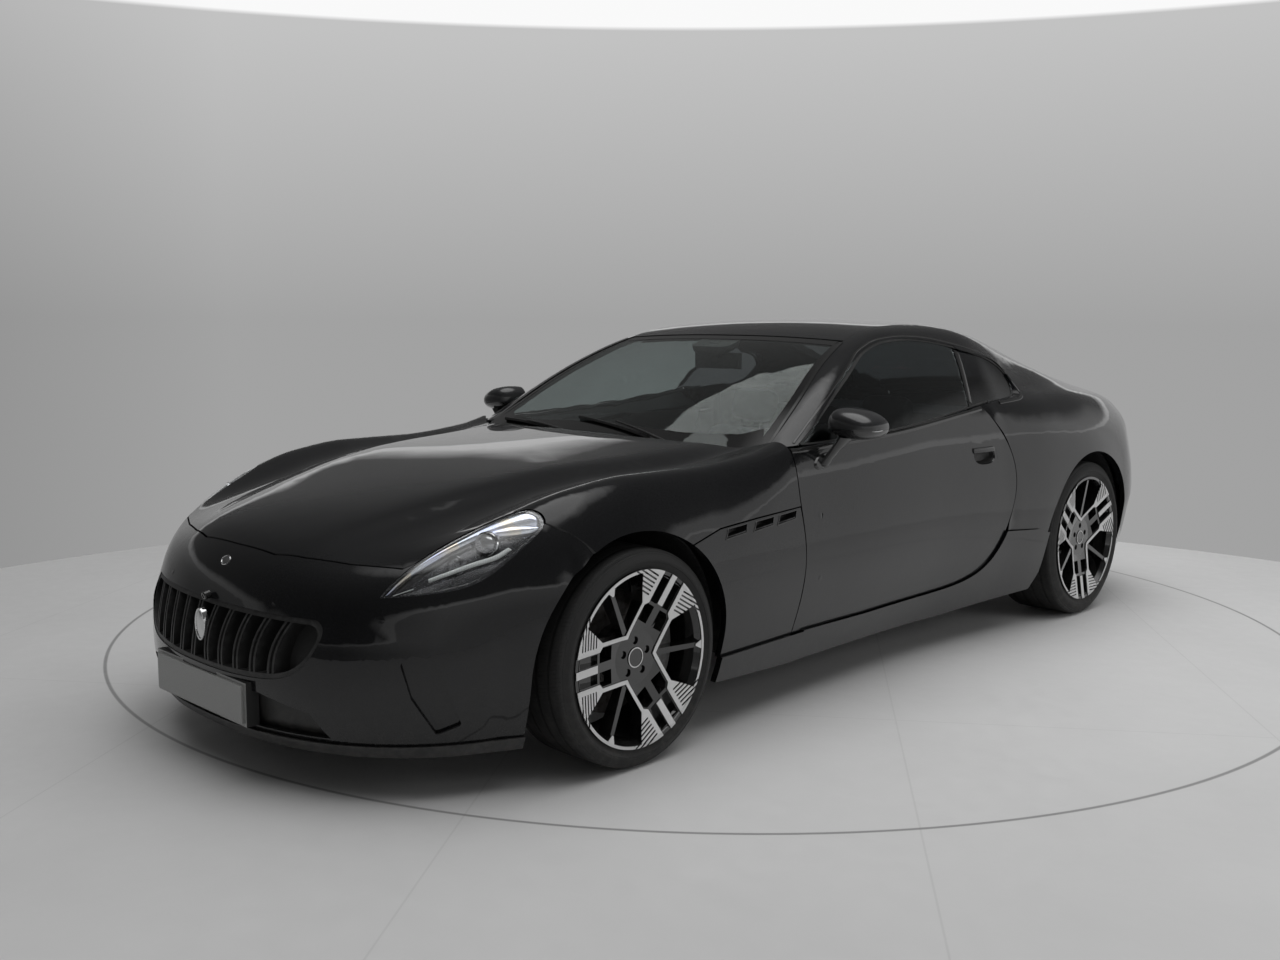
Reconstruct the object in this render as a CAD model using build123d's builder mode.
from build123d import *
import os
import numpy as np
from scipy.interpolate import CubicSpline, PchipInterpolator

# A two-door grand tourer. Millimetres, +Z up, nose towards -Y, +X is the car's left side.
# The origin lies on the ground under the middle of the car.

# ---------------------------------------------------------------- driving dimensions
front_axle_y = -1550.0
rear_axle_y = 1379.0
front_tyre_radius = 334.0
rear_tyre_radius = 355.0
front_tyre_width = 262.0
rear_tyre_width = 292.0
front_wheel_x = 812.0
rear_wheel_x = 806.0
front_rim_radius = 272.0
rear_rim_radius = 284.0
front_arch_radius = 384.0
rear_arch_radius = 404.0
hub_face = 24.0  # from the tyre's middle plane out to the hub's face
axle_radius = 30.0  # stub axle the wheel runs on
front_disc, rear_disc = 190.0, 180.0

panel = 22.0  # thickness of outer panels
door_skin = 22.0
door_depth = 130.0
glass = 5.0
shut_gap = 5.0
seam = 0.8  # between fixed panels
seat_gap = 0.3  # running clearance between pieces that rest on each other
belt_gap = 0.3

hinge_x = 911.0  # door hinge pins, 20 mm inside the door's skin
hinge_y = -652.0
hinge_heights = (470.0, 650.0)
hinge_strap = 46.0
hinge_pin_radius = 6.0
hinge_boss_radius = 11.0
pin_clearance = 0.08

bumper_foot = 165.0
front_plate_y, front_plate_z = -2480.0, 245.0
rear_plate_y, rear_plate_z = 2474.0, 500.0
floor_z = 150.0
pad_drop = 12.0
floor_wall = 24.0
steer_x = 742.0  # kingpin

os.makedirs("parts", exist_ok=True)

# ---------------------------------------------------------------- master skin
def law(*pairs):
    """A curve through (place, value) pairs, held level past its ends."""
    places, values = zip(*pairs)
    curve = PchipInterpolator(places, values)
    return lambda place: curve(np.clip(place, places[0], places[-1]))


def fair_law(*pairs):
    """As law, with continuous curvature."""
    places, values = zip(*pairs)
    curve = CubicSpline(places, values, bc_type="natural")
    return lambda place: curve(np.clip(place, places[0], places[-1]))


def larger(a, b, reach):
    """The larger of two fields, rounded where they cross."""
    near = np.maximum(reach - np.abs(a - b), 0.0) / reach
    return np.maximum(a, b) + near**3 * reach / 6.0


def smaller(a, b, reach):
    return -larger(-a, -b, reach)


centre_z = fair_law(
    (-2490, 540), (-2400, 625), (-2250, 715), (-2000, 787), (-1600, 858), (-1200, 905),
    (-850, 930), (-400, 930), (400, 940), (1200, 970), (1700, 985), (2050, 990), (2300, 985), (2490, 960),
)
bulge_x = law((-2400, 300), (-1800, 480), (-900, 640), (-700, 660), (0, 700))
bulge_step = law((-2400, 0), (-2200, 18), (-1800, 40), (-1200, 42), (-900, 25), (-600, 0))
crest_x = law(
    (-2300, 660), (-1900, 750), (-1500, 785), (-900, 810), (0, 820), (900, 780), (1400, 765), (2100, 720),
)
crest_z = law(
    (-2450, 560), (-2200, 660), (-1887, 785), (-1680, 842), (-1460, 868), (-1180, 870), (-900, 893),
    (-745, 925), (-600, 975), (200, 1000), (700, 1015), (1100, 1010), (1450, 1003), (1800, 985), (2050, 950),
    (2300, 915), (2490, 870),
)


def top_z(x, y):
    """Height of the hood, the wings' crests and the rear deck."""
    x = np.abs(x)
    middle, out, crest = centre_z(y), crest_x(y), crest_z(y)
    across = np.clip(x / out, 0, 3)
    base = middle + (crest - middle) * across**2
    trough = bulge_step(y) / (1 + np.exp(-(x - bulge_x(y)) / 28.0))
    ridge = bulge_step(y) * np.exp(-(((x - out) / 95.0) ** 2))
    return base - trough + ridge - np.maximum(x - out, 0) ** 2 / 260.0


half_width = law(
    (-2000, 905), (-1550, 962), (-1150, 948), (-500, 928), (100, 925), (600, 938), (1000, 966),
    (1379, 978), (1800, 965), (2200, 905),
)
widest_z = law((-2490, 430), (-1550, 520), (-700, 560), (300, 600), (1379, 600), (2200, 560), (2490, 560))
lean_above = law((-2490, 0.00030), (-1500, 0.00034), (-700, 0.00060), (500, 0.00060), (1379, 0.00060), (2490, 0.0009))
tuck_below = law((-2490, 0.0004), (-1100, 0.0005), (0, 0.0006), (1379, 0.0004), (2490, 0.0006))
nose_start, nose_power = -1650.0, 2.4
nose_y = law(
    (100, -2400), (190, -2465), (300, -2478), (420, -2470), (500, -2440), (600, -2405), (700, -2360),
    (800, -2300), (950, -2250),
)
tail_start, tail_power = 1500.0, 2.5
tail_y = law(
    (100, 2330), (200, 2400), (330, 2470), (480, 2484), (620, 2455), (750, 2410), (900, 2380), (960, 2385),
    (1000, 2390), (1100, 2350),
)
shoulder_round = law(
    (-2490, 130), (-2000, 150), (-1200, 150), (-600, 50), (400, 50), (900, 100), (1400, 150), (2200, 110), (2490, 60),
)


def lower_body(x, y, z):
    """Below zero inside the body up to its shoulders."""
    rise = z - widest_z(y)
    width = half_width(y) - lean_above(y) * np.maximum(rise, 0) ** 2 - tuck_below(y) * np.maximum(-rise, 0) ** 2
    across = np.abs(x) / np.maximum(width, 50.0)
    ahead = np.maximum(nose_start - y, 0.0) / (nose_start - nose_y(z))
    behind = np.maximum(y - tail_start, 0.0) / (tail_y(z) - tail_start)
    front = (across**nose_power + ahead**nose_power) ** (1 / nose_power)
    rear = (across**tail_power + behind**tail_power) ** (1 / tail_power)
    plan = np.where(y < 0, front, rear)
    return larger((plan - 1.0) * 850.0, (z - top_z(x, y)) * 0.92, shoulder_round(y))


roof_z = fair_law(
    (-2490, 0), (-1300, 650), (-900, 905), (-745, 985), (-400, 1158), (-67, 1283), (130, 1330), (350, 1350),
    (520, 1353), (700, 1345), (1000, 1300), (1400, 1195), (1750, 1085), (2000, 1000), (2300, 880),
)
roof_crown = law(
    (-900, 0.00014), (-745, 0.00013), (-67, 0.00006), (300, 0.00007), (1000, 0.00010), (2000, 0.0002),
)
glass_foot = law((-900, 800), (-700, 830), (0, 858), (700, 850), (1200, 800), (1900, 700))
glass_lean = law((-900, 0.56), (0, 0.50), (700, 0.55), (1400, 0.80), (1900, 1.0))
sill_of_glass = 950.0


def cabin(x, y, z):
    """Below zero inside the roof, screens and side windows."""
    rise = z - sill_of_glass
    width = glass_foot(y) - glass_lean(y) * np.maximum(rise, -80.0) - 0.00035 * np.maximum(rise, 0) ** 2
    top = z - roof_z(y) + roof_crown(y) * x**2 + np.maximum(y - 1950.0, 0.0) ** 2 / 200.0
    return np.maximum(larger((np.abs(x) - width) * 0.87, top * 0.9, 90.0), 620.0 - z)


shoulder_blend = law((-900, 12), (500, 12), (800, 60), (1100, 160), (1500, 260), (2200, 200))


def whole_skin(x, y, z):
    return smaller(lower_body(x, y, z), cabin(x, y, z), shoulder_blend(y))


def side_frame(x, y, z):
    """The whole skin behind the doors, and the cabin alone beside them."""
    beside_door = np.clip((620.0 - y) / 240.0, 0.0, 1.0)
    return smaller(lower_body(x, y, z) + 330.0 * beside_door, cabin(x, y, z), shoulder_blend(y))


def reach_skin(field, start, aim, far=1500.0, steps=60, halvings=34):
    """Where rays from inside the body last leave it."""
    point = lambda t: np.moveaxis(start + aim * t[..., None], -1, 0)
    low = np.zeros(start.shape[:-1])
    high = np.full_like(low, far)
    found = np.zeros(low.shape, bool)
    stations = np.linspace(far, 0.0, steps)
    for outer, inner in zip(stations, stations[1:]):
        crossed = ~found & (field(*point(np.full_like(low, inner))) <= 0)
        low = np.where(crossed, inner, low)
        high = np.where(crossed, outer, high)
        found |= crossed
    if not found.all():
        raise ValueError("a ray of this patch misses the body")
    for _ in range(halvings):
        middle = (low + high) / 2
        inside = field(*point(middle)) <= 0
        low = np.where(inside, middle, low)
        high = np.where(inside, high, middle)
    return start + aim * low[..., None]


def outward(field, points, step=2.0):
    """Unit normals of the skin at points on it."""
    slopes = []
    for axis in np.eye(3) * step:
        ahead = np.moveaxis(points + axis, -1, 0)
        behind = np.moveaxis(points - axis, -1, 0)
        slopes.append(field(*ahead) - field(*behind))
    slope = np.stack(slopes, -1)
    return slope / np.linalg.norm(slope, axis=-1, keepdims=True)


def spline_face(points):
    """A smooth face lofted through one spline for each row of points."""
    stations = [float(t) for t in np.linspace(0.0, 1.0, points.shape[1])]
    rows = []
    for row in points:
        places = [Vector(*map(float, point)) for point in row]
        rows.append(Wire([Edge.make_spline(places, parameters=stations)]))
    return Shell.make_loft(rows).faces()[0]


def even_rows(points, count):
    """Each row of points, spaced evenly along its own length."""
    rows = []
    for row in points:
        run = np.concatenate([[0.0], np.cumsum(np.linalg.norm(np.diff(row, axis=0), axis=-1))])
        stations = np.linspace(0.0, run[-1], count)
        rows.append(np.stack([np.interp(stations, run, row[:, axis]) for axis in range(3)], -1))
    return np.stack(rows)


ray_density = 16  # rays shot for each point kept along a row


def skin_slab(field, start, aim, thickness, inset=0.0):
    """A closed panel: the skin inside a patch, and its offset inwards, joined round the edge."""
    skin = even_rows(reach_skin(field, start, aim), start.shape[1] // ray_density)
    normals = outward(field, skin)
    outer = spline_face(skin - normals * inset)
    inner = spline_face(skin - normals * (inset + thickness))
    edges = [Face.make_surface_from_curves(a, b) for a, b in zip(outer.edges(), inner.edges())]
    return Solid(Shell([outer, inner, *edges]))


def grid(low_u, high_u, count_u, low_v, high_v, count_v):
    return np.meshgrid(np.linspace(low_u, high_u, count_u), np.linspace(low_v, high_v, count_v), indexing="ij")


def stack(a, b, c):
    return np.stack(np.broadcast_arrays(a, b, c), -1).astype(float)


def side_slab(field, y_range, z_low, z_high, counts, thickness, inset=0.0):
    """A panel seen from the left side. Its top may be a height or a law along the car."""
    y, share = grid(*y_range, counts[0], 0.0, 1.0, counts[1] * ray_density)
    top = z_high(y) if callable(z_high) else z_high
    z = z_low + (top - z_low) * share
    return skin_slab(field, stack(0, y, z), stack(1, 0 * y, 0), thickness, inset)


def top_slab(field, x_range, y_range, counts, thickness, inset=0.0, from_z=300.0):
    """A panel seen from above."""
    x, y = grid(*x_range, counts[0], *y_range, counts[1] * ray_density)
    return skin_slab(field, stack(x, y, from_z), stack(0 * x, 0, 1), thickness, inset)


def hoop_slab(field, y_range, degrees, counts, axis_z, thickness):
    """A panel swept round a level axis along the car."""
    y, turn = grid(*y_range, counts[0], *np.radians(degrees), counts[1] * ray_density)
    return skin_slab(field, stack(0, y, axis_z), stack(np.sin(turn), 0, np.cos(turn)), thickness)


def end_slab(field, centre, turn_degrees, rise_degrees, counts, end, thickness, inset=0.0):
    """A panel seen all round from a point inside the nose (end -1) or the tail (end 1)."""
    turn, rise = grid(*np.radians(turn_degrees), counts[0], *np.radians(rise_degrees), counts[1] * ray_density)
    aim = stack(np.cos(rise) * np.sin(turn), end * np.cos(rise) * np.cos(turn), np.sin(rise))
    return skin_slab(field, stack(*[c + 0 * turn for c in centre]), aim, thickness, inset)


def wrap_slab(field, y_range, fan_degrees, degrees, counts, axis_z, thickness):
    """A panel swept round a level axis along the car, then fanned round the axis' rear end."""
    along = np.concatenate([np.linspace(*y_range, counts[0]), np.full(counts[1], y_range[1])])
    fan = np.radians(np.concatenate([np.zeros(counts[0]), np.linspace(0, fan_degrees, counts[1] + 1)[1:]]))
    turn = np.radians(np.linspace(*degrees, counts[2] * ray_density))
    y, fan, turn = along[:, None] + 0 * turn, fan[:, None] + 0 * turn, turn + 0 * along[:, None]
    aim = stack(np.sin(turn) * np.cos(fan), np.sin(turn) * np.sin(fan), np.cos(turn))
    return skin_slab(field, stack(0, y, axis_z), aim, thickness)


def height_at(field, x, y):
    return float(reach_skin(field, np.array([x, y, 300.0]), np.array([0.0, 0.0, 1.0]))[2])


# ---------------------------------------------------------------- shared lines
# side view lines are (y, z), plan lines (x, y), front view lines (x, z)
far = 1300.0
door_front = [(-748, 903), (-752, 840), (-762, 735), (-750, 600), (-745, 470), (-758, 340), (-764, 268)]
door_bottom = [(-764, 268), (-300, 266), (150, 270), (412, 292)]
door_belt = [(475, 1000), (0, 960), (-400, 940)]
door_rear = [(412, 292), (540, 345), (612, 425), (668, 543), (698, 660), (690, 780), (640, 890), (548, 1000)]
belt_line = [(-748, 903), (-400, 915), (0, 937), (475, 984), (720, 1010)]
belt_at = PchipInterpolator(*zip(*belt_line))
wing_line = [(-745, 716), (-1000, 704), (-1200, 690), (-1345, 655), (-1500, 610)]
nose_line = [(0, -2337), (208, -2333), (330, -2305), (480, -2255), (633, -2186)]
lamp_to_arch = [(820, -1836), (885, -1762), (985, -1650)]


def finish(piece, name):
    piece.part.label = name
    export_step(piece.part, f"parts/{name}.step")


def mirrored(piece, name):
    with BuildPart() as other:
        mirror(piece.part, about=Plane.YZ)
    finish(other, name)
    return other


# ---------------------------------------------------------------- wheels
def make_tyre(name, side, axle_y, wheel_x, radius, rim, width):
    half = width / 2
    with BuildPart() as tyre:
        with BuildSketch(Plane(origin=(side * wheel_x, axle_y, radius), x_dir=(side, 0, 0), z_dir=(0, -side, 0))):
            with BuildLine():
                Polyline((-half + 12, rim + 2), (-half + 18, rim - 14), (half - 18, rim - 14), (half - 12, rim + 2))
                Spline((half - 12, rim + 2), (half, (rim + radius) / 2 - 4), (half - 10, radius - 16), (half - 34, radius - 2),
                       tangents=[(0.3, 1), (-1, 0.12)])
                Spline((half - 34, radius - 2), (0, radius), (-half + 34, radius - 2))
                Spline((-half + 34, radius - 2), (-half + 10, radius - 16), (-half, (rim + radius) / 2 - 4), (-half + 12, rim + 2),
                       tangents=[(-1, -0.12), (0.3, -1)])
            make_face()
        revolve(axis=Axis((side * wheel_x, axle_y, radius), (1, 0, 0)))
    finish(tyre, name)


def repeated(points, size, angles):
    """An outline in a wheel's face, along an arm and out from its middle line, scaled to the rim and repeated."""
    with BuildSketch(mode=Mode.PRIVATE) as faces:
        for degrees in angles:
            for side in (-1, 1):
                turned = [Vector(a * size, side * b * size).rotate(Axis.Z, degrees) for a, b in points]
                with BuildLine():
                    Polyline(*turned, close=True)
                make_face()
    return faces.sketch


# wheel face, in millimetres on the front rim: along an arm and out from its middle line
front_first_arm, rear_first_arm = 60.0, 30.0  # degrees, where the wheels stand
face_step = 4.0  # the cut faces stand this far above the black ones
hub_dish = 30.0  # the hub lies this far inside the rim's lip
spoke_depth = 62.0
ring_width = 9.0
arm_half = [(0, 0), (270, 0), (262, 62), (234, 132), (152, 74), (42.7, 74)]
arm_end = [(200, 0), (300, 0), (300, 48), (200, 48)]
thin_spoke = [(60, 0), (266, 0), (266, 7), (60, 10)]
arm_window = [(104, 14), (160, 14), (160, 46), (148, 58), (104, 58)]
arm_pocket = [(170, 14), (252, 14), (252, 44), (170, 44)]
chevron = [(35.8, 62), (150, 62), (163, 48), (280, 48), (236, 139), (196, 110), (152, 74), (42.7, 74)]
middle_bar = [(172, 0), (280, 0), (280, 11.5), (172, 11.5)]
rim_tab = [(240, 0), (240, 3), (268, 18), (268, 0)]
slot_count, slot_pitch, slot_width = 6, 12.5, 5.5


def make_wheel(name, axle_y, wheel_x, radius, rim, width, disc_radius, first_arm):
    """A left wheel: barrel, dished three-arm face, hub and brake disc, turning together."""
    half = width / 2
    face = half - 4.0  # rim lip, from the tyre's middle plane
    size = rim / front_rim_radius
    arm_angles = [first_arm + 120 * arm for arm in range(3)]
    thin_angles = [first_arm + 60 + 120 * arm for arm in range(3)]
    outward = Plane(origin=(wheel_x, axle_y, radius), x_dir=(0, 1, 0), z_dir=(1, 0, 0))
    profile = Plane(origin=(wheel_x, axle_y, radius), x_dir=(1, 0, 0), z_dir=(0, -1, 0))
    spin = Axis((wheel_x, axle_y, radius), (1, 0, 0))
    with BuildPart() as over_face:
        with BuildSketch(profile):
            with BuildLine():
                Polyline((face - hub_dish, 0), (face - hub_dish, 84 * size), (face - 1.5, rim - ring_width - 1),
                         (face, rim - ring_width - 1), (face, rim + 8), (face + 60, rim + 8), (face + 60, 0), close=True)
            make_face()
        revolve(axis=spin)
    with BuildPart() as cut_faces:
        with BuildSketch(outward.offset(face - hub_dish - 2 * face_step)):
            Circle(rim - 1)
            Circle(rim - 1 - ring_width, mode=Mode.SUBTRACT)
            add(repeated(arm_end, size, arm_angles), mode=Mode.SUBTRACT)
            add(repeated(chevron, size, arm_angles))
            add(repeated(middle_bar, size, arm_angles))
            add(repeated(rim_tab, size, thin_angles))
            for step in range(slot_count):
                along = 179 + step * slot_pitch
                slot = [(along, 64), (along + slot_width, 64), (along + slot_width, 160), (along, 160)]
                add(repeated(slot, size, arm_angles), mode=Mode.SUBTRACT)
            Circle(rim - 1, mode=Mode.INTERSECT)
        extrude(amount=hub_dish + 2 * face_step)
        add(over_face.part, mode=Mode.SUBTRACT)
        # room for the tyre's bead
        with BuildSketch(profile):
            with BuildLine():
                Polyline((half - 60, rim - 14.6), (half - 17, rim - 14.6), (half - 11, rim + 1), (half - 11, rim + 8),
                         (half - 60, rim + 8), close=True)
            make_face()
        revolve(axis=spin, mode=Mode.SUBTRACT)
    with BuildPart() as wheel:
        with BuildSketch(outward.offset(face - spoke_depth)):
            add(repeated(arm_half, size, arm_angles))
            add(repeated(thin_spoke, size, thin_angles))
            Circle(84 * size)
            Circle(rim - 16, mode=Mode.INTERSECT)
            add(repeated(arm_window, size, arm_angles), mode=Mode.SUBTRACT)
        extrude(amount=spoke_depth)
        with BuildSketch(outward.offset(face - 34)):
            add(repeated(arm_pocket, size, arm_angles))
        extrude(amount=34, mode=Mode.SUBTRACT)
        add(over_face.part.moved(Location((-face_step, 0, 0))), mode=Mode.SUBTRACT)
        with BuildSketch(profile):
            with BuildLine():
                Polyline(
                    (-half + 17, rim - 14.6), (half - 17, rim - 14.6), (half - 11, rim + 1), (face - face_step, rim),
                    (face - face_step, rim - 11), (half - 26, rim - 22), (-half + 26, rim - 22), (-half + 6, rim - 6),
                    (-half + 6, rim + 1), (-half + 11, rim + 1), close=True,
                )
            make_face()
        revolve(axis=spin)
        add(cut_faces.part)
        # wheel nut recesses, nuts and the blank cap
        with BuildSketch(outward.offset(face - hub_dish - face_step - 16)):
            with PolarLocations(52 * size, 5, start_angle=18):
                Circle(12)
        extrude(amount=40, mode=Mode.SUBTRACT)
        with BuildSketch(outward.offset(face - hub_dish - face_step - 16)):
            with PolarLocations(52 * size, 5, start_angle=18):
                RegularPolygon(9, 6)
        extrude(amount=9)
        with BuildSketch(outward.offset(face - hub_dish - face_step)):
            Circle(31)
        extrude(amount=3)
        with BuildSketch(outward.offset(face - hub_dish - face_step + 1.5)):
            Circle(27.5)
        extrude(amount=3, mode=Mode.SUBTRACT)
        # hub, brake disc and its bell
        with BuildSketch(outward.offset(hub_face)):
            Circle(78)
        extrude(amount=face - spoke_depth - hub_face + 6)
        with BuildSketch(outward.offset(hub_face - 62)):
            Circle(86)
        extrude(amount=62)
        with BuildSketch(outward.offset(hub_face - 62)):
            Circle(disc_radius)
        extrude(amount=32)
        with BuildSketch(outward.offset(hub_face - 63)):
            Circle(axle_radius + pin_clearance)
        extrude(amount=60, mode=Mode.SUBTRACT)
    finish(wheel, name)
    return wheel


make_tyre("front_left_tyre", 1, front_axle_y, front_wheel_x, front_tyre_radius, front_rim_radius, front_tyre_width)
make_tyre("front_right_tyre", -1, front_axle_y, front_wheel_x, front_tyre_radius, front_rim_radius, front_tyre_width)
make_tyre("rear_left_tyre", 1, rear_axle_y, rear_wheel_x, rear_tyre_radius, rear_rim_radius, rear_tyre_width)
make_tyre("rear_right_tyre", -1, rear_axle_y, rear_wheel_x, rear_tyre_radius, rear_rim_radius, rear_tyre_width)
front_wheel = make_wheel("front_left_wheel", front_axle_y, front_wheel_x, front_tyre_radius, front_rim_radius,
                         front_tyre_width, front_disc, front_first_arm)
rear_wheel = make_wheel("rear_left_wheel", rear_axle_y, rear_wheel_x, rear_tyre_radius, rear_rim_radius,
                        rear_tyre_width, rear_disc, rear_first_arm)
mirrored(front_wheel, "front_right_wheel")
mirrored(rear_wheel, "rear_right_wheel")


def make_knuckle(name, side, axle_y, wheel_x, radius, disc_radius):
    """Upright with its stub axle, ball joint lugs and brake caliper."""
    disc_in = wheel_x + hub_face - 62
    upright_x = disc_in - 38
    with BuildPart() as knuckle:
        with Locations((side * upright_x, axle_y, radius)):
            Box(26, 90, 250)
        with BuildSketch(Plane(origin=(side * (upright_x - 8), axle_y, radius), x_dir=(0, side, 0), z_dir=(side, 0, 0))):
            Circle(axle_radius)
        extrude(amount=disc_in + 56 - (upright_x - 8))
        for lug_z in (radius - 130, radius + 130):
            with BuildSketch(Plane.XY.offset(lug_z - 12)):
                with Locations((side * (steer_x - 2), axle_y)):
                    SlotOverall(110, 44)
            extrude(amount=24)
        # caliper: a bridge over the disc on its rear edge, on two arms from the upright
        with BuildSketch(Plane(origin=(side * (disc_in - 44), axle_y, radius), x_dir=(0, 1, 0), z_dir=(side, 0, 0))):
            with BuildLine():
                CenterArc((0, 0), disc_radius + 26, -26, 52)
                CenterArc((0, 0), disc_radius - 72, -26, 52)
                Line((disc_radius + 26) * cos_sin(-26), (disc_radius - 72) * cos_sin(-26))
                Line((disc_radius + 26) * cos_sin(26), (disc_radius - 72) * cos_sin(26))
            make_face()
        extrude(amount=118)
        with Locations((side * (upright_x + 4), axle_y + 60, radius)):
            Box(20, 130, 60)
        with BuildSketch(Plane(origin=(side * (disc_in - 5), axle_y, radius), x_dir=(0, 1, 0), z_dir=(side, 0, 0))):
            Circle(disc_radius + 5)
            Circle(axle_radius, mode=Mode.SUBTRACT)
        extrude(amount=42, mode=Mode.SUBTRACT)
    finish(knuckle, name)


def cos_sin(degrees):
    return Vector(np.cos(np.radians(degrees)), np.sin(np.radians(degrees)))


for corner, side in (("left", 1), ("right", -1)):
    make_knuckle(f"front_{corner}_knuckle", side, front_axle_y, front_wheel_x, front_tyre_radius, front_disc)
    make_knuckle(f"rear_{corner}_knuckle", side, rear_axle_y, rear_wheel_x, rear_tyre_radius, rear_disc)


# ---------------------------------------------------------------- cutters
def side_outline(lines, side=1):
    """A face in side view, closed from open point runs: each run is a spline or a polyline."""
    with BuildSketch(Plane.YZ, mode=Mode.PRIVATE) as sketch:
        with BuildLine():
            for kind, points in lines:
                if kind == "curve":
                    Spline(*points)
                else:
                    Polyline(*points)
        make_face()
    return sketch.sketch


def beside(points, amount):
    """A run of points moved sideways, to the right of its own direction."""
    path = np.array(points, float)
    along = np.gradient(path, axis=0)
    along /= np.linalg.norm(along, axis=1, keepdims=True)
    return [tuple(p) for p in path + amount * np.stack([along[:, 1], -along[:, 0]], -1)]


def door_outline(top, grow=0.0):
    """The door's outline up to a line above it, grown or shrunk in front, below and behind."""
    front = beside(door_front, grow)
    bottom = [(a, b - grow) for a, b in door_bottom[:-1]]
    rear = beside(door_rear, grow)
    return side_outline([
        ("curve", front), ("line", [front[-1], *bottom[1:]]),
        ("curve", [bottom[-1]] + rear), ("line", [rear[-1], *top, front[0]]),
    ])


def arch(axle_y, radius, arch_radius, inner=560.0, outer=far):
    """A wheel arch's opening on the left side."""
    with BuildPart() as opening:
        with BuildSketch(Plane.YZ.offset(inner)):
            with Locations((axle_y, radius)):
                Circle(arch_radius)
            with Locations((axle_y, radius - 500)):
                Rectangle(2 * arch_radius, 1000)
        extrude(amount=outer - inner)
    return opening.part


front_arch = arch(front_axle_y, front_tyre_radius, front_arch_radius)
rear_arch = arch(rear_axle_y, rear_tyre_radius, rear_arch_radius)
both_front_arches = front_arch + mirror(front_arch, about=Plane.YZ)
both_rear_arches = rear_arch + mirror(rear_arch, about=Plane.YZ)

# headlamp outline, seen square to the lens
lamp_plane = Plane(origin=(735, -2020, 690), x_dir=(0.25, 0.93, 0.25), z_dir=(0.50, -0.45, 0.72))
lamp_points = [
    (-286, 13), (-200, 35), (-100, 52), (20, 64), (120, 67), (190, 53), (218, 18),
    (212, -18), (178, -41), (110, -66), (30, -87), (-50, -93), (-144, -68), (-214, -34),
]
# the hood's front line crosses the lamp here
lamp_crossing = [(700, -2090), (760, -1980), (800, -1880)]


def grown(points, amount):
    """A closed outline's points, each moved away from their middle."""
    middle = np.mean(points, axis=0)
    return [tuple(np.array(p) + amount * (np.array(p) - middle) / np.linalg.norm(np.array(p) - middle)) for p in points]


def lamp_outline(grow=0.0):
    flat = grown(lamp_points, grow)
    with BuildSketch(lamp_plane, mode=Mode.PRIVATE) as sketch:
        with BuildLine():
            Spline(*flat[0:7])
            Spline(*flat[6:14], flat[0])
        make_face()
    return sketch.sketch


def lamp_block(grow, depth_in, depth_out):
    with BuildPart() as block:
        extrude(lamp_outline(grow), amount=depth_out, dir=tuple(lamp_plane.z_dir))
        extrude(lamp_outline(grow), amount=-depth_in, dir=tuple(lamp_plane.z_dir))
    return block.part


lamp_hole = lamp_block(0.0, 150, 200)
both_lamp_holes = lamp_hole + mirror(lamp_hole, about=Plane.YZ)
hood_lamp_hole = lamp_block(shut_gap, 150, 200)
both_hood_lamp_holes = hood_lamp_hole + mirror(hood_lamp_hole, about=Plane.YZ)


def plan_region(front, behind, reach=0.0):
    """Plan view region between the hood's front line and a line across the car."""
    half = [(x, y + reach) for x, y in front]
    with BuildSketch(Plane.XY, mode=Mode.PRIVATE) as sketch:
        with BuildLine():
            Polyline(*half, (1100, half[-1][1]), (1100, behind), (0, behind), half[0])
        make_face()
        mirror(about=Plane.YZ)
    return sketch.sketch


dlo_points = [
    (-690, 908), (-390, 1078), (-135, 1206), (46, 1258), (264, 1273), (617, 1240), (880, 1186), (985, 1120),
    (975, 1050), (900, 1020),
]


def dlo_region(grow, y_from, y_to):
    """The side window opening between two lines across it."""
    low = [(720, belt_at(720)), (475, belt_at(475)), (0, belt_at(0)), (-400, belt_at(-400))]
    pts = grown(dlo_points + [(a, float(b)) for a, b in low], grow)
    with BuildSketch(Plane.YZ, mode=Mode.PRIVATE) as sketch:
        with BuildLine():
            Spline(*pts[0:6])
            Spline(*pts[5:10])
            Polyline(pts[9], *pts[10:], pts[0])
        make_face()
        with BuildLine():
            Polyline((y_from[0], 800), (y_from[1], 1400), (y_to[1], 1400), (y_to[0], 800), (y_from[0], 800))
        make_face(mode=Mode.INTERSECT)
    return sketch.sketch


front_line = nose_line + lamp_crossing + lamp_to_arch

# ---------------------------------------------------------------- hood
door_edge = beside(door_front, shut_gap)
behind_door_front = side_outline([("curve", door_edge), ("line", [door_edge[-1], (0, 200), (0, 1100), (-753, 1100), door_edge[0]])])
cowl_line = [(0, -962), (300, -950), (520, -905), (700, -820), (790, -752), (1100, -750)]
with BuildPart() as hood:
    add(hoop_slab(lower_body, (-2345, -742), (-84, 84), (44, 57), 420.0, panel))
    extrude(plan_region([(x, y) for x, y in front_line], 0), amount=2000, mode=Mode.INTERSECT)
    with BuildSketch(Plane.XY):
        with BuildLine():
            Polyline(*cowl_line, (1100, 0), (0, 0), cowl_line[0])
        make_face()
        mirror(about=Plane.YZ)
    extrude(amount=2000, mode=Mode.SUBTRACT)
    with BuildSketch(Plane.YZ.offset(-far)):
        with BuildLine():
            Polyline(*wing_line, (-1900, 500), (-2100, 300), (-2100, 0), (0, 0), (0, wing_line[0][1]), wing_line[0])
        make_face()
    extrude(amount=2 * far, mode=Mode.SUBTRACT)
    add(both_front_arches, mode=Mode.SUBTRACT)
    add(both_hood_lamp_holes, mode=Mode.SUBTRACT)
    extrude(behind_door_front, amount=far, both=True, mode=Mode.SUBTRACT)
finish(hood, "hood")

# ---------------------------------------------------------------- front bumper
grille_low, grille_high = 318.0, 508.0


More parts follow.
